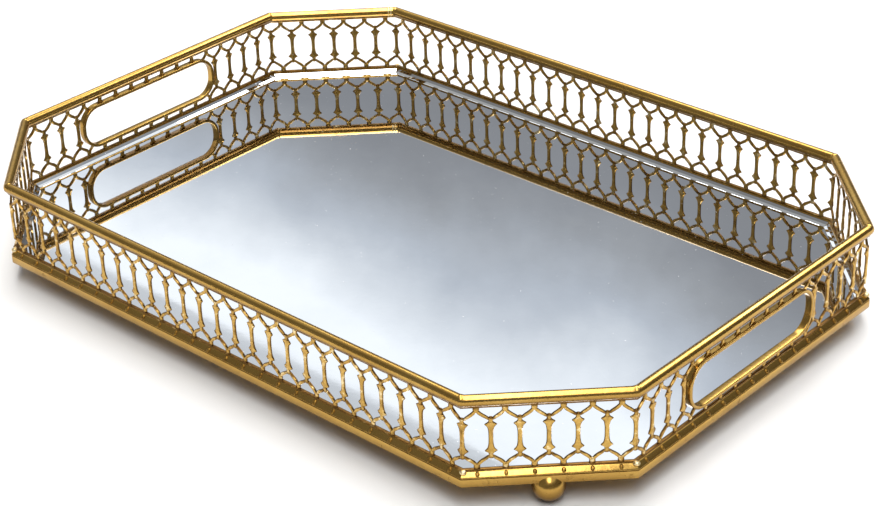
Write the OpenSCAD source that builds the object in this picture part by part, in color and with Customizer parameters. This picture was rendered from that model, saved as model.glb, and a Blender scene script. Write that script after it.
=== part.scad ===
// Eight-sided vanity tray: a bevelled mirror floor inside a pierced brass gallery,
// with a finger opening through each end and four ball feet.
// +Z is up, +X runs along the tray, and the origin is on the table under its middle.

/* [Overall] */
// Length over the outer faces of the base rail
tray_length = 385.4; // [300:0.1:480]
// Width over the outer faces of the base rail
tray_width = 272.1; // [220:0.1:360]
// Length cut off each side at a corner, along the outer face of the rail
corner_cut = 50.4; // [38:0.1:70]
// Clear height of the fretwork, from the rail up to the rim
fret_height = 30.6; // [28:0.1:44]

/* [Rim] */
// Diameter of the bent rod along the top
rim_d = 5; // [4:0.1:7]
// Diameter of the brazed knuckle at each bend
knuckle_d = 5.3; // [4.2:0.1:8]
// Depth of the groove under the rod that takes the fretwork
seat_depth = 0.4; // [0.2:0.05:0.8]
// Length of the solder sleeve where the ends of the rod meet
seam_length = 2.4; // [1.5:0.1:5]
// Thickness of the solder on the rod
seam_wall = 0.25; // [0.2:0.05:0.5]
// Distance of the sleeve from the back left corner
seam_offset = 2; // [1.5:0.1:10]

/* [Fretwork] */
// Nearest spacing of the posts; each side rounds it to whole bays
post_pitch = 10.8; // [9.5:0.1:14]
// Thickness of the pierced strip
strip_t = 1.5; // [1:0.1:2.4]
// Width of a post along its plain middle
shaft_w = 1.6; // [1.2:0.1:2.4]
// Reach of a spade head to each side of the middle of its post
head_reach = 2.5; // [1.6:0.1:3.2]
// Height from the widest point of a spade head to the plain shaft
head_taper = 3.4; // [2.5:0.1:4.5]
// Height from the widest point of a spade head to its neck
head_top = 0.9; // [0.5:0.1:1.4]
// Width of the neck between a spade head and its arms
neck_w = 1.5; // [1.2:0.1:2]
// Height from the neck up to the fork of the arms
neck_rise = 2.6; // [2:0.1:3.4]
// Height from the fork of the arms to the node between two posts
arm_rise = 3.7; // [2.6:0.1:4.6]
// Width of a scroll arm
arm_w = 1; // [0.8:0.05:1.4]
// Height of the plain border along both edges of the strip
border_h = 0.8; // [0.5:0.1:1.5]
// Width of the tabs that join the nodes to the rim and the rail
tab_w = 2.3; // [1.6:0.1:3]
// Height of those tabs
tab_rise = 2.5; // [2:0.1:3.5]

/* [Finger openings] */
// Width of the opening through each end
grip_w = 87; // [70:0.5:105]
// Height of the opening
grip_h = 20; // [16:0.1:21]
// Corner radius of the opening
grip_r = 9; // [5:0.1:9.8]
// Thickness of the frame around the opening
frame_w = 1.7; // [1:0.1:2.6]
// Depth of that frame, through the wall
frame_depth = 3.6; // [2.4:0.1:5]

/* [Base rail] */
// How far the rail stands out beyond the middle of the rim
rail_overhang = 2.7; // [1.5:0.1:4]
// How far the rail reaches inwards from the middle of the rim
rail_inset = 3.3; // [2.5:0.1:5]
// Height of the rail
rail_h = 6.4; // [5.5:0.1:10]
// Height of the flat band along its foot
band_h = 3.6; // [2.5:0.1:4]
// Height of the groove between the band and the rounded ledge
groove_h = 0.5; // [0.3:0.1:0.8]
// Depth of that groove
groove_d = 0.4; // [0.2:0.05:0.8]
// How far in and down the ledge is rounded
ledge_r = 2.1; // [1.2:0.1:2.2]
// Wall of the rolled section
rail_wall = 1; // [0.7:0.1:1.2]

/* [Floor] */
// Thickness of the sheet-metal bottom
plate_t = 0.8; // [0.6:0.1:1.5]
// Thickness of the felt pad under the mirror
pad_t = 0.4; // [0.3:0.1:1]
// Thickness of the silvering and its backing paint
silver_t = 0.15; // [0.1:0.05:0.3]
// Thickness of the mirror glass
glass_t = 2.6; // [2:0.1:4]
// Width of the bevel around the glass
bevel_w = 5; // [3:0.1:12]
// Depth of the bevel at the edge of the glass
bevel_d = 0.7; // [0.3:0.05:1.2]
// Gap around each layer of the floor
floor_gap = 0.2; // [0.1:0.05:0.5]

/* [Feet] */
// Diameter of a ball foot
foot_d = 14; // [11:0.1:20]
// How far the ball reaches up past the underside of the rail
foot_sink = 3.8; // [2.5:0.1:6]
// Distance of the ball's middle inside the outer face of the rail
foot_inset = 3.8; // [2.5:0.1:5]
// Diameter of the rivet shank on top of a foot
shank_d = 2; // [1.2:0.1:2.4]
// Height of the shank above the underside of the rail
shank_h = 2.6; // [1.6:0.1:4]
// Gap around the shank in the bottom sheet
shank_gap = 0.1; // [0.05:0.05:0.3]

/* [Solder] */
// Radius of the bead at the foot of each tab
bead_r = 0.9; // [0.5:0.1:1.2]

/* [Hidden] */
SIDES = ["front_left", "front", "front_right", "right", "back_right", "back", "back_left", "left"];

BRASS = "#c8a04a";
SOLDER = "#e6cf8e";
STEEL = "#b08d3e";
FELT = "#3c3a38";
SILVER = "#d5d8dc";
GLASS = "#c3cdd6";

ROUND = 48;                 // facets that stand for a round edge
turn = 45;                  // every corner turns by this angle
mitre = tan(turn / 2);      // shift along a side for each unit inwards at a corner
spread = 20;                // reach of a mitre cut to each side of the gallery line

// Heights
rail_z = foot_d - foot_sink;
plate_top = rail_z + plate_t;
pad_top = plate_top + pad_t;
silver_top = pad_top + silver_t;
glass_top = silver_top + glass_t;
rail_top = rail_z + rail_h;
fret_mid = rail_top + fret_height / 2;
rim_z = rail_top + fret_height + rim_d / 2;

// Heights in the fretwork, measured up and down from its middle
edge_v = fret_height / 2;
node_v = edge_v - tab_rise;
fork_v = node_v - arm_rise;
head_v = fork_v - neck_rise;
shaft_v = head_v - head_taper;

// The gallery line runs under the middle of the rim. Its corners go round from the
// left end's front corner, and each side is named in SIDES.
half_l = tray_length / 2 - rail_overhang;
half_w = tray_width / 2 - rail_overhang;
cut = corner_cut - corner_shift(rail_overhang);
function corner_shift(out) = out * (2 - sqrt(2));

// Corners of the eight-sided outline that lies this far inside the gallery line
function outline(inside) =
    let (x = half_l - inside, y = half_w - inside, c = cut - corner_shift(inside))
    [[-x, -y + c], [-x + c, -y], [x - c, -y], [x, -y + c],
     [x, y - c], [x - c, y], [-x + c, y], [-x, y - c]];

corners = outline(0);
function run(i) = norm(corners[(i + 1) % 8] - corners[i]);
function bays(i) = round(run(i) / post_pitch);
function pitch(i) = run(i) / bays(i);

// Distance from a side's first corner to the middle of its finger opening. The opening is
// centred on a bay, and an even number of bays puts it half a bay towards the front.
function grip_x(i) =
    let (from_front = (floor((bays(i) - 1) / 2) + 0.5) * pitch(i))
    SIDES[i] == "left" ? run(i) - from_front : from_front;

// Puts its children on side i: X along the side, Y inwards, Z up
module on_side(i) {
    translate(corners[i]) rotate([0, 0, turn * (i - 1)]) children();
}

// Trims its children to the side's own stretch, with a mitre at both ends
module mitred(i, bottom, top) {
    intersection() {
        children();
        translate([0, 0, bottom - 1])
            linear_extrude(top - bottom + 2)
                polygon([[-spread * mitre, -spread], [run(i) + spread * mitre, -spread],
                         [run(i) - spread * mitre, spread], [spread * mitre, spread]]);
    }
}

// Runs a section along side i and past both its ends; the section's X is inwards and its Y
// is up. As a cutter on the outline it leaves a mitre at each corner.
module past_side(i) {
    translate([-spread, 0, 0]) rotate([90, 0, 90])
        linear_extrude(run(i) + 2 * spread) children();
}

// A flat layer of the floor
module floor_layer(inside, z, thickness) {
    translate([0, 0, z]) linear_extrude(thickness) polygon(outline(inside));
}

// A flat ring between two outlines
module ring(outside, inside, z, height) {
    difference() {
        floor_layer(outside, z, height);
        floor_layer(inside, z - 1, height + 2);
    }
}

module rounded(w, h, r) {
    square([w - 2 * r, h], center = true);
    square([w, h - 2 * r], center = true);
    for (x = [-1, 1], y = [-1, 1])
        translate([x * (w / 2 - r), y * (h / 2 - r)]) circle(r, $fn = ROUND);
}

// ---- Rim -------------------------------------------------------------------------

// The rod, with a round knuckle at each bend
module rim_rod() {
    for (i = [0:7])
        on_side(i) translate([0, 0, rim_z]) {
            rotate([0, 90, 0]) cylinder(h = run(i), d = rim_d, $fn = ROUND);
            sphere(d = max(knuckle_d, rim_d + 0.2), $fn = ROUND);
        }
}

// The room that the edge of the fretwork takes under the rod
module strip_seat() {
    ring(-strip_t / 2, strip_t / 2, rim_z - rim_d, rim_d / 2 + seat_depth);
}

// The rod, grooved underneath for the edge of the fretwork
module top_rim() {
    color(BRASS)
        difference() {
            rim_rod();
            strip_seat();
        }
}

// The rod's ends are soldered together next to the back left corner
module rim_seam() {
    color(SOLDER)
        difference() {
            on_side(6) translate([seam_offset, 0, rim_z]) rotate([0, 90, 0])
                difference() {
                    cylinder(h = seam_length, d = rim_d + 2 * seam_wall, $fn = ROUND);
                    translate([0, 0, -1])
                        cylinder(h = seam_length + 2, d = rim_d, $fn = ROUND);
                }
            strip_seat();
        }
}

// ---- Fretwork --------------------------------------------------------------------

// A point, and its images across both middle lines, in order round the middle
function four_ways(q) =
    let (back = [for (k = [len(q) - 1:-1:0]) q[k]])
    concat(q,
           [for (p = back) [p[0], -p[1]]],
           [for (p = q) [-p[0], -p[1]]],
           [for (p = back) [-p[0], p[1]]]);

// The tall opening between two posts, from the middle of its bay
module tall_opening(half) {
    polygon(four_ways([[tab_w / 2, node_v - arm_w],
                       [half - neck_w / 2, fork_v - arm_w],
                       [half - neck_w / 2, head_v + head_top],
                       [half - head_reach, head_v],
                       [half - shaft_w / 2, shaft_v]]));
}

// The small opening above a post, next to the rim
module cup_opening(half) {
    side = half - tab_w / 2;
    polygon([[-side, edge_v - border_h], [-side, node_v + arm_w / 2],
             [-neck_w / 2, fork_v + arm_w / 2], [neck_w / 2, fork_v + arm_w / 2],
             [side, node_v + arm_w / 2], [side, edge_v - border_h]]);
}

module lattice(i) {
    p = pitch(i);
    difference() {
        translate([-strip_t, -edge_v]) square([run(i) + 2 * strip_t, 2 * edge_v + seat_depth]);
        for (k = [0:bays(i) - 1])
            translate([(k + 0.5) * p, 0]) tall_opening(p / 2);
        for (k = [0:bays(i)])
            translate([k * p, 0]) {
                cup_opening(p / 2);
                mirror([0, 1]) cup_opening(p / 2);
            }
    }
}

module fret(i) {
    color(BRASS)
        on_side(i) mitred(i, rail_top, rim_z)
            translate([0, strip_t / 2, fret_mid]) rotate([90, 0, 0])
                linear_extrude(strip_t)
                    difference() {
                        lattice(i);
                        if (SIDES[i] == "left" || SIDES[i] == "right")
                            translate([grip_x(i), 0])
                                rounded(grip_w + 2 * frame_w, grip_h + 2 * frame_w,
                                        grip_r + frame_w);
                    }
}

// The frame that stiffens a finger opening
module handle_frame(i) {
    color(BRASS)
        on_side(i) translate([grip_x(i), frame_depth / 2, fret_mid]) rotate([90, 0, 0])
            linear_extrude(frame_depth)
                difference() {
                    rounded(grip_w + 2 * frame_w, grip_h + 2 * frame_w, grip_r + frame_w);
                    rounded(grip_w, grip_h, grip_r);
                }
}

// ---- Rail ------------------------------------------------------------------------

// What is taken off along side i to round the ledge. The curve is a little flatter than
// a quarter circle, so it meets the band and the top at a slight edge.
module ledge_cut(i) {
    r = 1.15 * ledge_r;
    c = (ledge_r + sqrt(2 * r * r - ledge_r * ledge_r)) / 2;
    on_side(i) translate([0, 0, rail_z + rail_h]) past_side(i)
        difference() {
            translate([-rail_overhang - 1, -c]) square(c + 1);
            translate([c - rail_overhang, -c]) circle(r, $fn = ROUND);
        }
}

// A rolled section, hollow and open underneath, with a seat for the bottom sheet
module base_rail() {
    face = -rail_overhang;
    inner_wall = rail_inset - rail_wall;
    groove_top = band_h + groove_h;
    color(BRASS)
        difference() {
            ring(face, rail_inset, rail_z, rail_h);
            floor_layer(face + rail_wall, rail_z - 1, 1 + plate_t);
            ring(face + rail_wall + groove_d, inner_wall, rail_z, groove_top);
            ring(face + ledge_r, inner_wall, rail_z, rail_h - rail_wall);
            ring(face - 1, face + groove_d, rail_z + band_h, groove_h);
            for (i = [0:7]) ledge_cut(i);
        }
}

// ---- Floor -----------------------------------------------------------------------

module base_plate() {
    color(STEEL)
        difference() {
            floor_layer(rail_wall - rail_overhang + floor_gap, rail_z, plate_t);
            for (i = [0:2:6])
                on_foot(i) translate([0, 0, rail_z - 1])
                    cylinder(h = plate_t + 2, d = shank_d + 2 * shank_gap, $fn = ROUND);
        }
}

module backing_pad() {
    color(FELT) floor_layer(rail_inset + floor_gap, plate_top, pad_t);
}

module mirror_silvering() {
    color(SILVER) floor_layer(rail_inset + floor_gap, pad_top, silver_t);
}

module mirror_glass() {
    inside = rail_inset + floor_gap;
    color(GLASS)
        difference() {
            floor_layer(inside, silver_top, glass_t);
            for (i = [0:7])
                on_side(i) translate([0, 0, glass_top]) past_side(i)
                        polygon([[inside - bevel_w, -2 * bevel_d],
                                 [inside + 2 * bevel_w, bevel_d],
                                 [inside - bevel_w, bevel_d]]);
        }
}

// ---- Feet ------------------------------------------------------------------------

// The middle of side i, over the middle of its ball foot
module on_foot(i) {
    on_side(i) translate([run(i) / 2, foot_inset - rail_overhang, 0]) children();
}

// A ball that is notched to sit round the lower edge of the rail
module foot(i) {
    color(BRASS)
        on_foot(i) {
            difference() {
                translate([0, 0, foot_d / 2]) sphere(d = foot_d, $fn = ROUND);
                translate([-foot_d, -foot_inset, rail_z]) cube(2 * foot_d);
            }
            translate([0, 0, rail_z - shank_d])
                cylinder(h = shank_h + shank_d, d = shank_d, $fn = ROUND);
        }
}

// ---- Solder ----------------------------------------------------------------------

module solder_beads() {
    color(SOLDER)
        for (i = [0:7], k = [0:bays(i) - 1])
            on_side(i) translate([(k + 0.5) * pitch(i), -strip_t / 2, rail_top])
                intersection() {
                    sphere(bead_r, $fn = ROUND);
                    translate([-bead_r, -2 * bead_r, 0]) cube(2 * bead_r);
                }
}

top_rim();
rim_seam();
fret(0);  // fret_front_left
fret(1);  // fret_front
fret(2);  // fret_front_right
fret(3);  // fret_right
fret(4);  // fret_back_right
fret(5);  // fret_back
fret(6);  // fret_back_left
fret(7);  // fret_left
handle_frame(7);  // handle_frame_left
handle_frame(3);  // handle_frame_right
base_rail();
base_plate();
backing_pad();
mirror_silvering();
mirror_glass();
foot(0);  // foot_front_left
foot(2);  // foot_front_right
foot(4);  // foot_back_right
foot(6);  // foot_back_left
solder_beads();
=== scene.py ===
"""An eight-sided brass vanity tray: a rod rim over a cast gallery, a rolled base rail,
a bevelled mirror and four ball feet. Lengths are in metres, +Z is up and +X runs along the tray."""

import math
import random

import bmesh
import bpy
import numpy as np
from mathutils import Matrix, Vector


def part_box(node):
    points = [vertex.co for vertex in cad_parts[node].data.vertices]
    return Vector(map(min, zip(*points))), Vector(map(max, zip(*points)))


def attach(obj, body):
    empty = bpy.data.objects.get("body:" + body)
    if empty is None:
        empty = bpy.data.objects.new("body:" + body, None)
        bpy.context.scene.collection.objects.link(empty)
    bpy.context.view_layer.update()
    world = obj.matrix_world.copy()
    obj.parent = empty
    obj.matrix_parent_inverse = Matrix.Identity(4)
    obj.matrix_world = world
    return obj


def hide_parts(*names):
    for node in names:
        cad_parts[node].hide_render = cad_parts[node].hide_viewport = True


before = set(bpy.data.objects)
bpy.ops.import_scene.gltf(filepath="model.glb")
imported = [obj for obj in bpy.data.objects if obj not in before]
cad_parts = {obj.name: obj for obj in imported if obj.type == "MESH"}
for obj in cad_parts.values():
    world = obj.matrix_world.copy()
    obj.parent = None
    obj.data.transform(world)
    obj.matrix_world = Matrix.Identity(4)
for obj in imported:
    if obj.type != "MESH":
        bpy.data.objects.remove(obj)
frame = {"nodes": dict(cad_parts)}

bl_info = {
    "name": "Vanity Tray",
    "version": (1, 0, 0),
    "blender": (4, 5, 0),
    "location": "View3D > Sidebar > Vanity Tray",
    "description": "Makes a mirrored brass vanity tray around its fixed frame",
    "category": "Object",
}

# ---- Places that come from the frame ---------------------------------------------------

MM = 0.001
TURN = math.radians(45)
MITRE = math.tan(TURN / 2)
SIDES = ["front_left", "front", "front_right", "right",
         "back_right", "back", "back_left", "left"]

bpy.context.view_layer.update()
RAIL_LOW, RAIL_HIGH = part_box("base_rail")
FRONT_LOW, FRONT_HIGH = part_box("fret_front")
RIGHT_LOW, RIGHT_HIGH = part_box("fret_right")
GRIP_LOW, GRIP_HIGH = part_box("handle_frame_right")
GLASS_LOW, GLASS_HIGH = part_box("mirror_glass")
SEAM_LOW, SEAM_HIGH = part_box("rim_seam")

STRIP = FRONT_HIGH.y - FRONT_LOW.y
HALF_L = (RIGHT_LOW.x + RIGHT_HIGH.x) / 2
HALF_W = -(FRONT_LOW.y + FRONT_HIGH.y) / 2
FLAT_X = FRONT_HIGH.x - STRIP / 2 * MITRE
FLAT_Y = RIGHT_HIGH.y - STRIP / 2 * MITRE
OVERHANG = RAIL_HIGH.x - HALF_L
RAIL_TOP = RAIL_HIGH.z
FRET_TOP = FRONT_HIGH.z
SEAT = 0.4 * MM             # how far the gallery's edge goes up into the rod
RIM_BOTTOM = FRET_TOP - SEAT
FRET_MID = (RAIL_TOP + RIM_BOTTOM) / 2
GRIP_HALF_X = (GRIP_HIGH.y - GRIP_LOW.y) / 2
GRIP_HALF_Z = (GRIP_HIGH.z - GRIP_LOW.z) / 2
PAST_END = 20 * MM          # how far a strip of the rail runs past its side, before its mitres

# Corners of the gallery line, going round from the left end's front corner
CORNERS = [Vector(p) for p in (
    (-HALF_L, -FLAT_Y, 0), (-FLAT_X, -HALF_W, 0), (FLAT_X, -HALF_W, 0), (HALF_L, -FLAT_Y, 0),
    (HALF_L, FLAT_Y, 0), (FLAT_X, HALF_W, 0), (-FLAT_X, HALF_W, 0), (-HALF_L, FLAT_Y, 0))]


def run(side):
    return (CORNERS[(side + 1) % 8] - CORNERS[side]).length


def along(side):
    """The direction of a side, and the direction from it to the middle of the tray."""
    a = TURN * (side - 1)
    return Vector((math.cos(a), math.sin(a), 0)), Vector((-math.sin(a), math.cos(a), 0))


def grip_middle(side):
    """Distance from a side's first corner to the middle of its finger opening."""
    from_front = (GRIP_LOW.y + GRIP_HIGH.y) / 2 + FLAT_Y
    return run(side) - from_front if SIDES[side] == "left" else from_front


# ---- Sizes and colours that a user may change ------------------------------------------

def length(name, description, default):
    return bpy.props.FloatProperty(name=name, description=description, default=default,
                                   unit="LENGTH", subtype="DISTANCE", precision=5)


def colour(name, description, default):
    return bpy.props.FloatVectorProperty(name=name, description=description, default=default,
                                         subtype="COLOR", size=3, min=0, max=1)


class TrayRimSizes(bpy.types.PropertyGroup):
    rod: length("Rod", "Diameter of the rod along the top", 5 * MM)
    bend: length("Bend", "Radius of the rod's bends, to its middle", 4.2 * MM)
    knuckle: length("Knuckle", "Diameter of the brazed knuckle at each bend", 5.3 * MM)


class TrayFretSizes(bpy.types.PropertyGroup):
    pitch: length("Pitch", "Nearest spacing of the posts", 10.8 * MM)
    border: length("Border", "Height of the plain border along both edges", 0.8 * MM)
    shaft: length("Shaft", "Half the width of a post at its middle", 1.05 * MM)
    head: length("Head", "Reach of a spade head to each side", 2.6 * MM)
    depth: length("Depth", "Half the thickness of the castings", 0.82 * MM)


class TrayGripSizes(bpy.types.PropertyGroup):
    wall: length("Wall", "Thickness of the frame round a finger opening", 1.7 * MM)
    radius: length("Radius", "Corner radius of a finger opening", 9 * MM)


class TrayRailSizes(bpy.types.PropertyGroup):
    band: length("Band", "Height of the flat band along the foot of the rail", 3.6 * MM)
    groove: length("Groove", "Height of the groove over the band", 0.5 * MM)
    ledge: length("Ledge", "Radius of the rounded ledge", 2.1 * MM)
    wall: length("Wall", "Wall of the rolled section", 1 * MM)
    inset: length("Inset", "Reach of the ledge inside the middle of the rim", 0.9 * MM)


class TrayMirrorSizes(bpy.types.PropertyGroup):
    inset: length("Inset", "Distance of the mirror's edge from the middle of the rim", 0.95 * MM)
    bevel: length("Bevel", "Width of the bevel round the mirror", 2.2 * MM)
    drop: length("Drop", "Depth of the mirror's edge under the top of the rail", 0.65 * MM)


class TraySolderSizes(bpy.types.PropertyGroup):
    bead: length("Bead", "Radius of the solder at the foot of each tab", 0.9 * MM)
    corner: length("Corner", "Radius of the solder on each corner of the ledge", 1.65 * MM)


class TrayFinishes(bpy.types.PropertyGroup):
    gilt: colour("Gilt", "Bright gilt brass", (0.66, 0.42, 0.115))
    deep: colour("Deep Gilt", "Deeper gilt in the hollows of the plating", (0.44, 0.245, 0.05))
    # brown for the random tarnish spots, also used as painted shade on undersides, casting sides and
    # crevices
    tarnish_and_shade: colour("Tarnish", "Brown tarnish", (0.13, 0.06, 0.015))
    solder: colour("Solder", "Pale brass solder", (1.0, 0.86, 0.52))
    silver: colour("Silver", "Silvering of the mirror", (0.9, 0.925, 0.95))
    felt: colour("Felt", "Pad under the mirror", (0.03, 0.028, 0.026))
    floor: colour("Floor", "Floor of the studio", (0.9, 0.9, 0.905))


GROUPS = {"rim": TrayRimSizes, "fret": TrayFretSizes, "grip": TrayGripSizes,
          "rail": TrayRailSizes, "mirror": TrayMirrorSizes, "solder": TraySolderSizes,
          "finish": TrayFinishes}


def sizes(group):
    return getattr(bpy.context.scene, "tray_" + group)


# ---- Shader maths ----------------------------------------------------------------------

class Amount:
    """A value in a material. Sums and products of it add their own Math nodes."""

    def __init__(self, paint, socket):
        self.paint, self.socket = paint, socket

    def maths(self, operation, *values):
        return self.paint.node("Math", {"operation": operation}, dict(enumerate(values)))

    def __add__(self, other):
        return self.maths("ADD", self, other)

    def __sub__(self, other):
        return self.maths("SUBTRACT", self, other)

    def __rsub__(self, other):
        return self.maths("SUBTRACT", other, self)

    def __mul__(self, other):
        return self.maths("MULTIPLY", self, other)

    def __abs__(self):
        return self.maths("ABSOLUTE", self)

    __radd__, __rmul__ = __add__, __mul__

    def between(self, low, high):
        """0 below low, 1 above high, and smooth in between."""
        return self.paint.node("MapRange", {"interpolation_type": "SMOOTHSTEP"},
                               {"Value": self, "From Min": low, "From Max": high})


class Paint:
    """The nodes of one material, or of the world."""

    def __init__(self, name, world=False):
        self.owner = (bpy.data.worlds if world else bpy.data.materials).new(name)
        self.owner.use_nodes = True
        self.nodes, self.links = self.owner.node_tree.nodes, self.owner.node_tree.links
        self.nodes.clear()

    def node(self, kind, settings=None, values=None, out=0):
        """Adds a node, sets it up, fills or links its sockets, and gives one of its outputs."""
        node = self.nodes.new("ShaderNode" + kind)
        for name, value in (settings or {}).items():
            if name == "stops":
                ramp = node.color_ramp
                while len(ramp.elements) < len(value):
                    ramp.elements.new(0.5)
                for stop, (place, shade) in zip(ramp.elements, value):
                    stop.position = place
                    stop.color = (*shade, 1)
            else:
                setattr(node, name, value)
        for name, value in (values or {}).items():
            if isinstance(value, Amount):
                self.links.new(value.socket, node.inputs[name])
            elif isinstance(value, (tuple, list)) and node.inputs[name].type == "RGBA":
                node.inputs[name].default_value = (*tuple(value)[:3], 1)
            else:
                node.inputs[name].default_value = value
        return Amount(self, node.outputs[out]) if node.outputs else node

    def place(self):
        return self.node("TexCoord", out="Object")

    def noise(self, size, detail=3.0, rough=0.5, stretch=(1, 1, 1), shift=(0, 0, 0)):
        """Cloudy noise whose patches are about size metres across."""
        spot = self.node("Mapping", {}, {"Vector": self.place(), "Scale": stretch,
                                         "Location": shift})
        return self.node("TexNoise", {}, {"Vector": spot, "Scale": 1 / size,
                                          "Detail": detail, "Roughness": rough})

    def mix(self, share, first, second, blend="MIX"):
        return self.node("Mix", {"data_type": "RGBA", "blend_type": blend},
                         {0: share, 6: first, 7: second}, 2)

    def bump(self, height, depth, strength):
        return self.node("Bump", {}, {"Height": height, "Distance": depth,
                                      "Strength": strength})

    def finish(self, values):
        shader = self.node("BsdfPrincipled", {}, values)
        self.node("OutputMaterial", {}, {"Surface": shader})
        return self.owner


def scratches(paint, size, angle, thin=0.04):
    """Fine straight scratches at one angle, 1 on a scratch."""
    turned = paint.node("Mapping", {}, {"Vector": paint.place(),
                                        "Rotation": (0, 0, math.radians(angle))})
    bent = paint.node("VectorMath", {"operation": "MULTIPLY"},
                      {0: turned, 1: (1 / size, 0.035 / size, 1)})
    cell = paint.node("TexVoronoi", {"feature": "DISTANCE_TO_EDGE"},
                      {"Vector": bent, "Scale": 1.0})
    return 1 - cell.between(0, thin)


def gilt_brass(name, cast=False, wear=1.0):
    """Gilt brass with deeper patches, brown spots and a slightly rippled plating, and brown painted
    shade on undersides, casting sides and crevices.
    """
    c = sizes("finish")
    paint = Paint(name)
    broad = paint.noise(0.03, 3).between(0.35, 0.68)
    fine = paint.noise(0.0022, 4, 0.6)
    spots = paint.noise(0.0065, 5, 0.72, shift=(3, 1, 7)).between(0.56, 0.74) * wear
    specks = paint.noise(0.0009, 2, 0.5, shift=(9, 2, 4)).between(0.68, 0.78) * wear
    shade = paint.mix(broad * 0.45 + fine * 0.35, tuple(c.gilt), tuple(c.deep))
    shade = paint.mix(spots * 0.35 + specks * 0.3, shade, tuple(c.tarnish_and_shade))
    rough = 0.13 + fine * 0.12 + spots * 0.16 + broad * 0.05
    height = fine * 0.6 + paint.noise(0.009, 2)
    # the stored share of painted light: low where painted shade falls
    raised = paint.node("Attribute", {"attribute_name": "relief"}, {}, "Fac")
    ripple = 0.35
    if cast:
        lumps = paint.noise(0.0034, 3, 0.6, shift=(1, 6, 2))
        # painted shade: the sides and crevices of the castings turn brown, broken up by noise
        edge = (raised + (lumps - 0.5) * 1.5 + (fine - 0.5) * 0.4).between(0.3, 1.05)
        shade = paint.mix(edge * 0.9 + 0.1, tuple(c.tarnish_and_shade), shade)
        shade = paint.mix(lumps.between(0.56, 0.7) * edge * 0.7, shade, tuple(c.solder))
        rough = rough + (1 - edge) * 0.12
        height, ripple = height + lumps * 2, 0.6
    else:
        # painted shade: the undersides turn brown while the tops keep the gilt
        top = (raised + (fine - 0.5) * 0.3).between(0.05, 0.85)
        shade = paint.mix(top * 0.85 + 0.15, tuple(c.tarnish_and_shade), shade)
    return paint.finish({"Base Color": shade, "Metallic": 1.0, "Roughness": rough,
                         "Normal": paint.bump(height, 0.00022, ripple)})


def solder_brass(name, tint, other):
    paint = Paint(name)
    fine = paint.noise(0.0012, 4, 0.6)
    shade = paint.mix(fine.between(0.4, 0.7), tuple(tint), tuple(other))
    return paint.finish({"Base Color": shade, "Metallic": 1.0, "Roughness": 0.34 + fine * 0.14,
                         "Normal": paint.bump(fine, 0.0002, 0.5)})


def lacquered_sheet():
    """Rolled sheet under a gold lacquer: long rolling marks, scuffs and a few bare spots."""
    c = sizes("finish")
    paint = Paint("lacquered_sheet")
    rolled = paint.noise(0.0009, 3, 0.6, stretch=(0.03, 1, 1))
    cloudy = paint.noise(0.05, 4, 0.6)
    scuffs = scratches(paint, 0.007, 24, 0.02) * cloudy.between(0.52, 0.66)
    shade = paint.mix(cloudy, tuple(c.gilt), tuple(c.deep))
    shade = paint.mix(rolled.between(0.5, 0.8) * 0.35, shade, tuple(c.tarnish_and_shade))
    shade = paint.mix(scuffs * 0.25, shade, tuple(c.solder))
    return paint.finish({"Base Color": shade, "Metallic": 1.0,
                         "Roughness": 0.3 + rolled * 0.2 - scuffs * 0.1,
                         "Normal": paint.bump(rolled, 0.0001, 0.4)})


def felt_pad():
    paint = Paint("felt_pad")
    fibres = paint.noise(0.0006, 5, 0.75)
    dusty = paint.noise(0.02, 3)
    shade = paint.mix(fibres * 0.5 + dusty * 0.3, tuple(sizes("finish").felt), (0.11, 0.1, 0.09))
    return paint.finish({"Base Color": shade, "Roughness": 0.95, "Sheen Weight": 0.3,
                         "Normal": paint.bump(fibres, 0.0003, 0.8)})


def mirror_plate(name, used=True):
    """Silvered glass: a cold grey silver with haze, wiped streaks, specks and fine scratches."""
    c = sizes("finish")
    paint = Paint(name)
    haze = paint.noise(0.055, 5, 0.62)
    wiped = paint.noise(0.03, 4, 0.6, stretch=(0.25, 1, 1), shift=(2, 5, 0))
    dust = paint.noise(0.0014, 2, 0.5).between(0.72, 0.78)
    fine = scratches(paint, 0.011, 33, 0.006) + scratches(paint, 0.015, -52, 0.005)
    shade = paint.mix(haze.between(0.35, 0.75) * 0.5, tuple(c.silver), (0.78, 0.815, 0.86))
    shade = paint.mix(dust * 0.7, shade, (0.97, 0.97, 0.97))
    marks = fine.between(0.4, 1) * haze.between(0.42, 0.6)
    shade = paint.mix(marks * 0.12, shade, (0.97, 0.98, 1.0))
    rough = 0.015 + wiped.between(0.4, 0.8) * 0.03 + haze.between(0.5, 0.8) * 0.02
    if used:
        rough = rough + dust * 0.3
    return paint.finish({"Base Color": shade, "Metallic": 1.0, "Roughness": rough,
                         "Normal": paint.bump(haze, 0.0002, 0.05)})


def floor_card():
    paint = Paint("floor_card")
    grain = paint.noise(0.004, 4)
    shade = paint.mix(grain * 0.2, tuple(sizes("finish").floor), (0.86, 0.86, 0.865))
    return paint.finish({"Base Color": shade, "Roughness": 0.7,
                         "Normal": paint.bump(grain, 0.0001, 0.2)})


MATERIALS = {}


def coat(piece, name, make):
    """Gives a piece one finish, made the first time it is asked for."""
    if name not in MATERIALS:
        MATERIALS[name] = make()
    piece.data.materials.clear()
    piece.data.materials.append(MATERIALS[name])


# ---- Modelling by hand -----------------------------------------------------------------

def alone(piece):
    """Selects one piece and nothing else."""
    if bpy.context.object and bpy.context.object.mode != "OBJECT":
        bpy.ops.object.mode_set(mode="OBJECT")
    bpy.ops.object.select_all(action="DESELECT")
    piece.select_set(True)
    bpy.context.view_layer.objects.active = piece
    return piece


def settled(piece):
    """Puts a piece's place, turn and size into its mesh."""
    alone(piece)
    bpy.ops.object.transform_apply(location=True, rotation=True, scale=True)
    return piece


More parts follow.
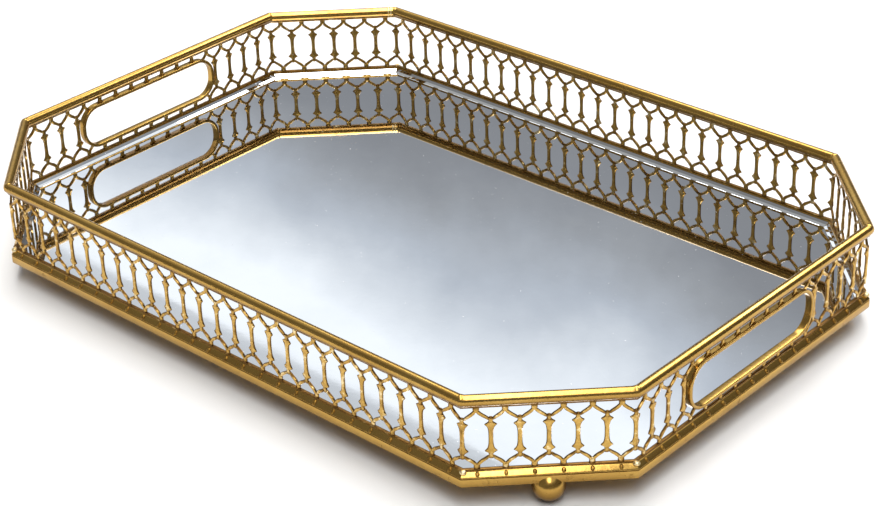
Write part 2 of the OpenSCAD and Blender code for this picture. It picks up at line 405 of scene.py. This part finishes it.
def start(kind, place=(0, 0, 0), turn=(0, 0, 0), size=None, **settings):
    """A primitive at its size and place."""
    bpy.ops.object.select_all(action="DESELECT")
    getattr(bpy.ops.mesh, f"primitive_{kind}_add")(location=place, rotation=turn, **settings)
    piece = bpy.context.object
    if size:
        piece.scale = size
    return settled(piece)


def edit(piece, mode="FACE", everything=True):
    alone(piece)
    bpy.ops.object.mode_set(mode="EDIT")
    bpy.ops.mesh.select_mode(type=mode)
    bpy.ops.mesh.select_all(action="SELECT" if everything else "DESELECT")


def choose(piece, test, kind="faces"):
    """Selects the faces, edges or vertices whose middle passes the test."""
    cage = bmesh.from_edit_mesh(piece.data)
    for part in getattr(cage, kind):
        if kind == "faces":
            spot = part.calc_center_median()
        elif kind == "edges":
            spot = (part.verts[0].co + part.verts[1].co) / 2
        else:
            spot = part.co
        part.select_set(bool(test(spot)))
    cage.select_flush_mode()
    bmesh.update_edit_mesh(piece.data)


def push(x=0.0, y=0.0, z=0.0):
    bpy.ops.mesh.extrude_region_move(TRANSFORM_OT_translate={"value": (x, y, z)})


def done(piece, merge=0.0):
    """Closes the edit: doubles merged if asked, and faces turned outwards."""
    bpy.ops.mesh.select_all(action="SELECT")
    if merge:
        bpy.ops.mesh.remove_doubles(threshold=merge)
    bpy.ops.mesh.normals_make_consistent(inside=False)
    bpy.ops.object.mode_set(mode="OBJECT")
    return piece


def modify(piece, kind, **settings):
    """Adds a modifier and applies it."""
    alone(piece)
    modifier = piece.modifiers.new(kind.title(), kind)
    for name, value in settings.items():
        setattr(modifier, name, value)
    bpy.ops.object.modifier_apply(modifier=modifier.name)
    return piece


def copied(piece):
    alone(piece)
    bpy.ops.object.duplicate(linked=False)
    return bpy.context.object


def joined(pieces, name):
    alone(pieces[0])
    for piece in pieces:
        piece.select_set(True)
    if len(pieces) > 1:
        bpy.ops.object.join()
    whole = bpy.context.object
    whole.name = whole.data.name = name
    return whole


def removed(*pieces):
    for piece in pieces:
        bpy.data.objects.remove(piece)


def smooth(piece, angle=38):
    alone(piece)
    bpy.ops.object.shade_smooth_by_angle(angle=math.radians(angle))
    return piece


def on_side(piece, side):
    """Moves a piece from the bench to a side. On the bench, X runs along the side from its
    first corner, Y is inwards from the gallery line and Z is up."""
    piece.matrix_world = (Matrix.Translation(CORNERS[side])
                          @ Matrix.Rotation(TURN * (side - 1), 4, "Z"))
    return settled(piece)


def mitred(piece, span, fill=True):
    """Cuts a piece on the bench with the mitres at both ends of a side of length span."""
    for place, lean in ((0.0, -MITRE), (span, MITRE)):
        edit(piece)
        bpy.ops.mesh.bisect(plane_co=(place, 0, 0), plane_no=(1, lean, 0), use_fill=fill,
                            clear_inner=place == 0, clear_outer=place > 0, threshold=1e-7)
    bpy.ops.object.mode_set(mode="OBJECT")
    return piece


def ride(piece, slot, *nodes):
    """Finishes a piece: it rides on the tray and stands for these CAD nodes."""
    settled(piece)
    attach(piece, "root")
    if nodes:
        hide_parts(*nodes)
    return piece


def octagon(name, inside, z):
    """An eight-sided face that lies this far inside the gallery line."""
    x, y = HALF_L - inside, HALF_W - inside
    cut = HALF_L - FLAT_X - inside * (2 - math.sqrt(2))
    face = start("plane", place=(0, 0, z), size=(x, y, 1))
    edit(face, "VERT")
    bpy.ops.mesh.bevel(offset_type="ABSOLUTE", offset=cut, segments=1, affect="VERTICES")
    bpy.ops.object.mode_set(mode="OBJECT")
    face.name = name
    return face


def loft(levels):
    """A bar built up level by level: (along, height, half width, half depth) of each."""
    u, v, w, d = levels[0]
    bar = start("plane", place=(u, 0, v), size=(w, d, 1))
    edit(bar)
    for (u0, v0, w0, d0), (u1, v1, w1, d1) in zip(levels, levels[1:]):
        push(u1 - u0, 0, v1 - v0)
        bpy.ops.transform.resize(value=(w1 / w0, d1 / d0, 1), center_override=(u1, 0, v1))
    return done(bar)


# ---- Rim -------------------------------------------------------------------------------

class TRAY_OT_rim(bpy.types.Operator):
    """Bends the rod of the rim round the tray and brazes a knuckle on each bend"""

    bl_idname = "tray.rim"
    bl_label = "Rim"

    def execute(self, context):
        s, c = sizes("rim"), sizes("finish")
        z = RIM_BOTTOM + s.rod / 2
        tangent = s.bend * MITRE
        rod = start("circle", place=(0, -HALF_W, z), turn=(0, math.pi / 2, 0),
                    vertices=24, radius=s.rod / 2, fill_type="NOTHING")
        edit(rod, "EDGE")
        for step in range(8):
            side = (1 + step) % 8
            forward, inward = along(side)
            reach = run(side) / 2 if step == 0 else run(side) - tangent
            push(*(forward * (reach - tangent)))
            centre = CORNERS[(side + 1) % 8] - forward * tangent + inward * s.bend
            bpy.ops.mesh.spin(steps=6, angle=-TURN, axis=(0, 0, 1),
                              center=(centre.x, centre.y, z))
        push(*(along(1)[0] * (run(1) / 2 - tangent)))
        done(rod, merge=0.01 * MM)

        # a knuckle on the middle of each bend, which lies inside the corner of its two sides
        knuckle = start("uv_sphere", segments=20, ring_count=12, radius=s.knuckle / 2)
        inside = s.bend * (1 / math.cos(TURN / 2) - 1)
        parts = [rod]
        for corner in CORNERS:
            spot = corner - corner.normalized() * inside
            piece = copied(knuckle)
            piece.location = (spot.x, spot.y, z)
            parts.append(settled(piece))
        removed(knuckle)
        rim = smooth(joined(parts, "gallery_rim"), 50)
        # painted shade on the underside of the rod
        paint_underside_shade(rim)
        coat(rim, "gilt_rod", lambda: gilt_brass("gilt_rod"))
        ride(rim, "gilt_brass", "top_rim")

        # the sleeve of solder over the rod's ends: two rings side by side, sunk in the rod
        half_apart, thick, sunk = 0.7 * MM, 0.55 * MM, 0.35 * MM
        ring = start("torus", place=(SEAM_LOW + SEAM_HIGH) / 2,
                     turn=(0, math.pi / 2, TURN * 5), major_segments=28, minor_segments=10,
                     major_radius=s.rod / 2 - sunk, minor_radius=thick)
        second = copied(ring)
        for piece, way in ((ring, 1), (second, -1)):
            edit(piece)
            bpy.ops.transform.translate(value=tuple(along(6)[0] * half_apart * way))
            bpy.ops.object.mode_set(mode="OBJECT")
        sleeve = smooth(joined([ring, second], "rim_solder"), 60)
        coat(sleeve, "solder", lambda: solder_brass("solder", c.solder, c.gilt))
        ride(sleeve, "solder", "rim_seam")
        return {"FINISHED"}


# ---- Gallery ---------------------------------------------------------------------------

def post_levels(s):
    """Half of a post, from its middle up to the fork: (along, height, half width, half depth)."""
    d = s.depth
    # height over the middle in millimetres, half width, half depth
    shape = [(0.0, s.shaft, 0.9 * d), (3.0, s.shaft * 1.03, 0.9 * d), (4.1, s.shaft * 1.3, 0.95 * d),
             (5.1, s.head * 0.6, d), (6.0, s.head * 1.06, 0.85 * d), (6.5, s.head * 1.12, 0.75 * d),
             (7.0, s.head * 0.7, 0.85 * d), (7.6, 1.0 * MM, 0.95 * d), (8.4, 0.95 * MM, 0.85 * d),
             (9.3, 1.3 * MM, 0.95 * d), (10.0, 0.9 * MM, 0.7 * d)]
    up = [(0.0, v * MM, w, deep) for v, w, deep in shape]
    return [(0.0, -v, w, deep) for _, v, w, deep in reversed(up[1:])] + up


def arm_levels(s, half):
    """The curved arm from a post's fork to the node between two posts."""
    # drawn for a half pitch of 5.43 mm, and stretched along the side to fit this one
    reach = half / 5.43 / MM
    # along, height and half width in millimetres, and a share of the half depth
    shape = [(0.85, 8.4, 0.5, 0.75), (1.25, 9.25, 1.0, 0.85), (2.35, 10.1, 1.6, 0.85),
             (3.75, 11.2, 1.45, 0.8), (4.8, 12.4, 0.95, 0.9), (5.1, 13.5, 0.5, 0.8)]
    return [(u * reach * MM, v * MM, w * MM, deep * s.depth) for u, v, w, deep in shape]


def tab_levels(s, half):
    """The tab that stands on the node between two posts and reaches the strip's edge."""
    # height and half width in millimetres, and a share of the half depth
    shape = [(12.0, 0.6, 0.8), (12.6, 1.35, 0.95), (13.5, 1.4, 0.9), (15.1, 1.6, 0.9)]
    return [(half, v * MM, w * MM, deep * s.depth) for v, w, deep in shape]


def castings(s, half):
    """A post, the arms to its right and left and the tab of the next node."""
    post = loft(post_levels(s))
    arm, tab = loft(arm_levels(s, half)), loft(tab_levels(s, half))
    for piece in (arm, tab):
        modify(piece, "MIRROR", use_axis=(False, False, True), use_mirror_merge=False)
        edit(piece)
        done(piece)
    for piece in (post, arm, tab):
        modify(piece, "SUBSURF", levels=1, render_levels=1)
    other = copied(arm)
    other.scale.x = -1
    settled(other)
    edit(other)
    return post, arm, done(other), tab


def strip(piece, first, pitch, count):
    """A row of copies at the gallery's middle height."""
    piece.location = (first, 0, FRET_MID)
    settled(piece)
    return modify(piece, "ARRAY", count=count, use_relative_offset=False,
                  use_constant_offset=True, constant_offset_displace=(pitch, 0, 0))


def border(span, low, high):
    """The plain edge of the strip, with its corners eased. It runs past its side, before its
    mitres, and its faces lie just behind those of the castings."""
    past, behind = 2 * MM, 0.05 * MM
    bar = start("cube", place=(span / 2, 0, (low + high) / 2),
                size=(span / 2 + past, STRIP / 2 - behind, (high - low) / 2))
    edit(bar, "EDGE")
    choose(bar, lambda p: 0 < p.x < span, "edges")
    bpy.ops.mesh.bevel(offset=0.2 * MM, segments=2, affect="EDGES")
    return done(bar)


def grip_cutter(middle, s):
    """A rounded block, a little smaller than the frame that covers the cut ends."""
    lap, deep = 0.3 * MM, 8 * MM
    block = rounded_face(middle, GRIP_HALF_X - lap, GRIP_HALF_Z - lap, s.radius + s.wall - lap)
    edit(block)
    push(0, deep, 0)
    bpy.ops.mesh.select_all(action="SELECT")
    bpy.ops.transform.translate(value=(0, -deep / 2, 0))
    return done(block)


def rounded_face(middle, half_x, half_z, radius, segments=8):
    """A flat rounded rectangle on the bench, facing along Y."""
    face = start("plane", place=(middle, 0, (GRIP_LOW.z + GRIP_HIGH.z) / 2),
                 turn=(math.pi / 2, 0, 0), size=(half_x, half_z, 1))
    edit(face, "VERT")
    bpy.ops.mesh.bevel(offset_type="ABSOLUTE", offset=radius, segments=segments,
                       affect="VERTICES")
    bpy.ops.object.mode_set(mode="OBJECT")
    return face


def paint_underside_shade(piece):
    """Stores how far a point faces up, so that its undersides are painted darker brown as painted
    shade.
    """
    mesh = piece.data
    ways = np.empty(len(mesh.vertices) * 3, np.float32)
    mesh.vertex_normals.foreach_get("vector", ways)
    # 1 on faces turned up, falling to 0 on undersides, where the painted shade goes
    value = np.clip(0.56 + 0.6 * ways.reshape(-1, 3)[:, 2], 0, 1).astype(np.float32)
    mesh.attributes.new("relief", "FLOAT", "POINT").data.foreach_set("value", value)


def paint_casting_shade(piece):
    """Stores how far a point of the casting faces outwards, less in its crevices: the mask of
    painted shade on its sides and in its crevices.
    """
    mesh = piece.data
    count = len(mesh.vertices)
    spots, ways = np.empty(count * 3), np.empty(count * 3, np.float32)
    mesh.vertices.foreach_get("co", spots)
    mesh.vertex_normals.foreach_get("vector", ways)
    facing = np.abs(ways.reshape(-1, 3)[:, 1])
    height = np.abs(spots.reshape(-1, 3)[:, 2] - FRET_MID) / MM
    # painted shade in the fork of the arms, the neck of the post, and the tab with the plain edge
    crevice = (0.5 * np.exp(-((height - 9.4) / 0.8) ** 2)
               + 0.45 * np.exp(-((height - 7.4) / 0.45) ** 2)
               + 0.35 * np.clip((height - 12.8) / 1.6, 0, 1))
    # low values give painted shade on the sides of the casting and in its crevices
    value = np.clip(facing * 1.15 - crevice, 0, 1).astype(np.float32)
    mesh.attributes.new("relief", "FLOAT", "POINT").data.foreach_set("value", value)


class TRAY_OT_gallery(bpy.types.Operator):
    """Casts one post with its arms, repeats it along each side and lets in the finger openings"""

    bl_idname = "tray.gallery"
    bl_label = "Gallery"

    def execute(self, context):
        s, grip = sizes("fret"), sizes("grip")
        made = {}
        for side, name in enumerate(SIDES):
            span = run(side)
            bays = round(span / s.pitch)
            pitch = span / bays
            pierced = name in ("left", "right")
            key = (round(span / MM), name if pierced else "")
            if key not in made:
                post, right, left, tab = castings(s, pitch / 2)
                rows = [mitred(strip(post, 0, pitch, bays + 1), span),
                        strip(right, 0, pitch, bays), strip(left, pitch, pitch, bays),
                        strip(tab, 0, pitch, bays)]
                if pierced:
                    cutter = grip_cutter(grip_middle(side), grip)
                    for row in rows:
                        modify(row, "BOOLEAN", operation="DIFFERENCE", solver="EXACT",
                               object=cutter)
                    removed(cutter)
                for low, high in ((RAIL_TOP, RAIL_TOP + s.border),
                                  (RIM_BOTTOM - s.border, FRET_TOP)):
                    rows.append(mitred(border(span, low, high), span))
                bench = smooth(joined(rows, "bench_" + name), 45)
                # painted shade on the sides and in the crevices of the castings
                paint_casting_shade(bench)
                coat(bench, "cast_brass", lambda: gilt_brass("cast_brass", cast=True))
                made[key] = bench
            piece = on_side(copied(made[key]), side)
            piece.name = piece.data.name = "gallery_" + name
            ride(piece, "gilt_brass", "fret_" + name)
        removed(*made.values())
        return {"FINISHED"}


class TRAY_OT_grips(bpy.types.Operator):
    """Bends the frames that stiffen the two finger openings"""

    bl_idname = "tray.grips"
    bl_label = "Finger openings"

    def execute(self, context):
        s = sizes("grip")
        depth = GRIP_HIGH.x - GRIP_LOW.x
        bench = rounded_face(0, GRIP_HALF_X, GRIP_HALF_Z, s.radius + s.wall, 14)
        edit(bench)
        bpy.ops.mesh.inset(thickness=s.wall, depth=0, use_even_offset=True)
        bpy.ops.mesh.delete(type="FACE")
        bpy.ops.mesh.select_all(action="SELECT")
        push(0, depth, 0)
        bpy.ops.mesh.select_all(action="SELECT")
        bpy.ops.transform.translate(value=(0, -depth / 2, 0))
        done(bench)
        modify(bench, "BEVEL", width=0.45 * MM, segments=3, limit_method="ANGLE",
               angle_limit=math.radians(50))
        for side, name in ((3, "right"), (7, "left")):
            hoop = copied(bench)
            hoop.location.x = grip_middle(side)
            smooth(on_side(settled(hoop), side), 40)
            # painted shade on the underside of the frame
            paint_underside_shade(hoop)
            hoop.name = hoop.data.name = "finger_frame_" + name
            coat(hoop, "gilt_rod", lambda: gilt_brass("gilt_rod"))
            ride(hoop, "gilt_brass", "handle_frame_" + name)
        removed(bench)
        return {"FINISHED"}


# ---- Base rail -------------------------------------------------------------------------

def rail_bar(span, y0, y1, z0, z1, round_at=None, radius=0.0):
    """One strip of the rail's section on the bench, run past both ends of the side."""
    bar = start("plane", place=(-PAST_END, (y0 + y1) / 2, (z0 + z1) / 2),
                turn=(math.pi / 2, 0, math.pi / 2),
                size=((y1 - y0) / 2, (z1 - z0) / 2, 1))
    edit(bar, "VERT", everything=False)
    if round_at:
        choose(bar, lambda p: (p - Vector((-PAST_END, *round_at))).length < 0.01 * MM, "verts")
        bpy.ops.mesh.bevel(offset_type="ABSOLUTE", offset=radius, segments=6, profile=0.27,
                           affect="VERTICES")
    bpy.ops.mesh.select_all(action="SELECT")
    bpy.ops.mesh.select_mode(type="FACE")
    bpy.ops.mesh.select_all(action="SELECT")
    push(span + 2 * PAST_END, 0, 0)
    return done(bar)


class TRAY_OT_rail(bpy.types.Operator):
    """Rolls the base rail: a flat band, a groove and a rounded ledge"""

    bl_idname = "tray.rail"
    bl_label = "Base rail"

    def execute(self, context):
        s = sizes("rail")
        foot, top, face = RAIL_LOW.z, RAIL_TOP, -OVERHANG
        groove_low, groove_high = foot + s.band, foot + s.band + s.groove
        dent, back = 0.4 * MM, 1.4 * MM     # the front and back of the groove's wall
        parts, made = [], {}
        for side in range(8):
            span = run(side)
            key = round(span / MM)
            if key not in made:
                bars = [
                    rail_bar(span, face, face + s.wall, foot, groove_low),
                    rail_bar(span, face + dent, face + back, foot + s.wall,
                             groove_high + dent),
                    rail_bar(span, face, s.inset, groove_high, top, (face, top), s.ledge),
                ]
                made[key] = joined([mitred(bar, span, fill=False) for bar in bars], "bench_rail")
            parts.append(on_side(copied(made[key]), side))
        removed(*made.values())
        rail = joined(parts, "base_rail_rolled")
        edit(rail)
        done(rail, merge=0.02 * MM)
        modify(rail, "BEVEL", width=0.18 * MM, segments=2, limit_method="ANGLE",
               angle_limit=math.radians(30))
        smooth(rail, 35)
        # painted shade on the underside of the rail
        paint_underside_shade(rail)
        coat(rail, "gilt_rail", lambda: gilt_brass("gilt_rail"))
        ride(rail, "gilt_brass", "base_rail")
        return {"FINISHED"}


# ---- Mirror and the layers under it ----------------------------------------------------

class TRAY_OT_mirror(bpy.types.Operator):
    """Cuts the mirror, polishes its raised edge and finishes the layers under it"""

    bl_idname = "tray.mirror"
    bl_label = "Mirror"

    def execute(self, context):
        s = sizes("mirror")
        plate = octagon("bevelled_mirror", s.inset, GLASS_LOW.z)
        edit(plate)
        push(0, 0, RAIL_TOP - s.drop - GLASS_LOW.z)
        level_edge = 0.35 * MM
        bpy.ops.mesh.inset(thickness=level_edge, depth=0, use_even_offset=True)
        fall = RAIL_TOP - s.drop - GLASS_HIGH.z
        # two facets, each a share of the bevel's width and of its fall
        for wide, deep in ((0.45, 0.56), (0.55, 0.44)):
            bpy.ops.mesh.inset(thickness=s.bevel * wide, depth=-fall * deep,
                               use_even_offset=True)
        done(plate)
        smooth(plate, 3)
        coat(plate, "mirror", lambda: mirror_plate("mirror"))
        ride(plate, "mirror_glass", "mirror_glass")
        nodes = frame["nodes"]
        coat(nodes["mirror_silvering"], "silvering", lambda: mirror_plate("silvering", False))
        coat(nodes["backing_pad"], "felt_pad", felt_pad)
        coat(nodes["base_plate"], "lacquered_sheet", lacquered_sheet)
        return {"FINISHED"}


# ---- Feet and solder -------------------------------------------------------------------

class TRAY_OT_feet(bpy.types.Operator):
    """Turns the ball feet and notches them under the rail"""

    bl_idname = "tray.feet"
    bl_label = "Feet"

    def execute(self, context):
        low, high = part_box("foot_front_left")
        forward, inward = along(0)
        middle = (low + high) / 2 - CORNERS[0]
        x, y, radius = middle.dot(forward), middle.dot(inward), (high.x - low.x) / 2
        ball = start("uv_sphere", place=(x, y, radius), segments=48, ring_count=32,
                     radius=radius)
        half = 20 * MM      # of the block that notches the ball round the rail's lower edge
        block = start("cube", place=(x, half - OVERHANG, RAIL_LOW.z + half),
                      size=(half, half, half))
        modify(ball, "BOOLEAN", operation="DIFFERENCE", solver="EXACT", object=block)
        removed(block)
        collar = start("torus", place=(x, y, RAIL_LOW.z - 0.25 * MM), major_segments=32,
                       minor_segments=10, major_radius=4.6 * MM, minor_radius=0.7 * MM)
        tall = 3.4 * MM
        shank = start("cylinder", place=(x, y, high.z - tall / 2), vertices=20,
                      radius=1 * MM, depth=tall)
        modify(shank, "BEVEL", width=0.25 * MM, segments=2, limit_method="ANGLE",
               angle_limit=math.radians(50))
        bench = smooth(joined([ball, collar, shank], "bench_foot"), 40)
        for side in (0, 2, 4, 6):
            foot = on_side(copied(bench), side)
            foot.name = foot.data.name = "ball_foot_" + SIDES[side]
            # painted shade on the underside of the ball
            paint_underside_shade(foot)
            coat(foot, "gilt_ball", lambda: gilt_brass("gilt_ball", wear=1.3))
            ride(foot, "gilt_brass", "foot_" + SIDES[side])
        removed(bench)
        return {"FINISHED"}


class TRAY_OT_solder(bpy.types.Operator):
    """Solders the foot of each tab over the ledge and drops solder on its corners"""

    bl_idname = "tray.solder"
    bl_label = "Solder"

    def execute(self, context):
        s, rail, c = sizes("solder"), sizes("rail"), sizes("finish")
        pick = random.Random(7)
        foot = start("ico_sphere", subdivisions=2, radius=1)
        coat(foot, "tab_solder", lambda: solder_brass("tab_solder", c.deep, c.tarnish_and_shade))
        corner = copied(foot)
        coat(corner, "solder", lambda: solder_brass("solder", c.solder, c.gilt))
        # the solder of a tab lies along the slope of the ledge, over its middle
        lean, half_tall, half_thick = math.radians(43), 1.25 * MM, 0.5 * MM
        drop = rail.ledge * 0.46
        out = OVERHANG - drop
        from_edge, sunk = 1.7 * MM, 0.15 * MM      # of the drops on the corners
        drops = []
        for side in range(8):
            forward, inward = along(side)
            bays = round(run(side) / sizes("fret").pitch)
            for k in range(bays):
                spot = CORNERS[side] + forward * (k + 0.5) * run(side) / bays - inward * out
                bead = copied(foot)
                bead.matrix_world = (
                    Matrix.Translation((spot.x, spot.y, RAIL_TOP - drop))
                    @ Matrix.Rotation(TURN * (side - 1), 4, "Z") @ Matrix.Rotation(lean, 4, "X")
                    @ Matrix.Diagonal((s.bead * pick.uniform(0.95, 1.15), half_tall,
                                       half_thick * pick.uniform(0.8, 1), 1)))
                drops.append(bead)
            spot = CORNERS[side] + CORNERS[side].normalized() * (OVERHANG - from_edge)
            bead = copied(corner)
            bead.matrix_world = (Matrix.Translation((spot.x, spot.y, RAIL_TOP - sunk))
                                 @ Matrix.Diagonal((s.corner, s.corner * pick.uniform(0.85, 1),
                                                    s.corner * pick.uniform(0.6, 0.75), 1)))
            drops.append(bead)
        removed(foot, corner)
        beads = joined(drops, "solder_drops")
        smooth(beads, 80)
        ride(beads, "solder", "solder_beads")
        return {"FINISHED"}


# ---- Stage -----------------------------------------------------------------------------

def studio_world():
    """A soft sky: dim near the horizon and in front of the tray, brighter higher up, with a
    grey shelf low behind it and a soft box of light across the top."""
    paint = Paint("studio", world=True)
    way = paint.node("TexCoord", out="Generated")
    rise = paint.node("VectorMath", {"operation": "DOT_PRODUCT"},
                      {0: way, 1: (-17.9, -16.7, 66.2)}, "Value")
    cloud = paint.node("TexNoise", {}, {"Vector": way, "Scale": 9.0, "Detail": 5.0,
                                        "Roughness": 0.6})
    share = (rise + (cloud - 0.5) * 5 + 19.4) * 0.01
    sky = paint.node("ValToRGB", {"stops": [
        (0.0, (0.10, 0.095, 0.09)), (0.40, (0.17, 0.165, 0.16)), (0.487, (0.28, 0.29, 0.31)),
        (0.50, (0.36, 0.375, 0.40)), (0.52, (0.54, 0.58, 0.64)), (0.547, (1.04, 1.08, 1.12)),
        (0.60, (1.05, 1.08, 1.1)), (0.70, (0.5, 0.5, 0.49))]}, {"Fac": share})
    beam = paint.node("VectorMath", {"operation": "DOT_PRODUCT"},
                      {0: way, 1: (0, -0.932, 1)}, "Value") + (cloud - 0.5) * 0.004
    shelf = beam.between(0, 0.002) * (1 - beam.between(0.024, 0.03))
    sky = paint.mix(shelf * 0.5, sky, (0.2, 0.21, 0.23))
    fore = paint.node("VectorMath", {"operation": "DOT_PRODUCT"},
                      {0: way, 1: (0, 1, 0)}, "Value").between(-0.45, 0.1)
    sky = paint.mix(fore * 0.9 + 0.1, (0.17, 0.168, 0.17), sky)
    across = paint.node("VectorMath", {"operation": "DOT_PRODUCT"},
                        {0: way, 1: (0.707, 0.707, 0)}, "Value")
    high = paint.node("VectorMath", {"operation": "DOT_PRODUCT"},
                      {0: way, 1: (0, 0, 1)}, "Value")
    softbox = high.between(0.62, 0.82) * (1 - abs(across).between(0.03, 0.25))
    sky = paint.mix(softbox, sky, (7.4, 7.3, 7.1))
    light = paint.node("Background", {}, {"Color": sky, "Strength": 1.0})
    paint.node("OutputWorld", {}, {"Surface": light})
    return paint.owner


def lamp(name, place, aim, wide, tall, power):
    data = bpy.data.lights.new(name, "AREA")
    data.shape, data.size, data.size_y = "RECTANGLE", wide, tall
    data.energy = power
    piece = bpy.data.objects.new(name, data)
    bpy.context.scene.collection.objects.link(piece)
    piece.location = place
    piece.rotation_euler = (Vector(aim) - Vector(place)).to_track_quat("-Z", "Y").to_euler()
    return piece


class TRAY_OT_stage(bpy.types.Operator):
    """Sets the floor, the lights, the world and the camera"""

    bl_idname = "tray.stage"
    bl_label = "Stage"

    def execute(self, context):
        floor = start("plane", place=(0, 0, -0.02 * MM), size=(6, 6, 1))
        edit(floor, "VERT")
        bpy.ops.mesh.bevel(offset_type="ABSOLUTE", offset=2.5, segments=6, affect="VERTICES")
        bpy.ops.object.mode_set(mode="OBJECT")
        floor.name = "floor"
        coat(floor, "floor_card", floor_card)
        lamp("behind", (0.1, 1.15, 1.2), (0, 0, 0.03), 0.9, 0.5, 9)
        context.scene.world = studio_world()
        context.scene.view_settings.view_transform = "Standard"

        aim, distance = Vector((6 * MM, 3.2 * MM, RAIL_LOW.z - 2.8 * MM)), 1.0154
        forward = Vector((-0.5895, 0.6394, -0.4936)).normalized()
        data = bpy.data.cameras.new("camera")
        data.lens, data.sensor_width = 87.0, 36.0
        data.clip_start, data.clip_end = 0.05, 50
        camera = bpy.data.objects.new("camera", data)
        context.scene.collection.objects.link(camera)
        level = forward.cross(Vector((0, 0, 1))).normalized()
        roll = math.radians(-1.7)
        right = level * math.cos(roll) + level.cross(forward) * math.sin(roll)
        turn = Matrix((right, right.cross(forward), -forward)).transposed()
        camera.matrix_world = Matrix.Translation(aim - forward * distance) @ turn.to_4x4()
        context.scene.camera = camera
        return {"FINISHED"}


class TRAY_PT_panel(bpy.types.Panel):
    """The steps that make the tray, in order, with their sizes"""

    bl_idname = "TRAY_PT_panel"
    bl_label = "Vanity Tray"
    bl_space_type = "VIEW_3D"
    bl_region_type = "UI"
    bl_category = "Vanity Tray"

    def draw(self, context):
        for name in STEPS:
            self.layout.operator("tray." + name)
        for group in GROUPS:
            box = self.layout.box()
            for prop in GROUPS[group].__annotations__:
                box.prop(sizes(group), prop)


STEPS = ["rim", "gallery", "grips", "rail", "mirror", "feet", "solder", "stage"]
CLASSES = [*GROUPS.values(), TRAY_OT_rim, TRAY_OT_gallery, TRAY_OT_grips, TRAY_OT_rail,
           TRAY_OT_mirror, TRAY_OT_feet, TRAY_OT_solder, TRAY_OT_stage, TRAY_PT_panel]


def register():
    for cls in CLASSES:
        bpy.utils.register_class(cls)
    for group, cls in GROUPS.items():
        setattr(bpy.types.Scene, "tray_" + group, bpy.props.PointerProperty(type=cls))


def unregister():
    for group in GROUPS:
        delattr(bpy.types.Scene, "tray_" + group)
    for cls in reversed(CLASSES):
        bpy.utils.unregister_class(cls)


def main():
    register()
    for name in STEPS:
        getattr(bpy.ops.tray, name)()


if __name__ == "__main__":
    main()
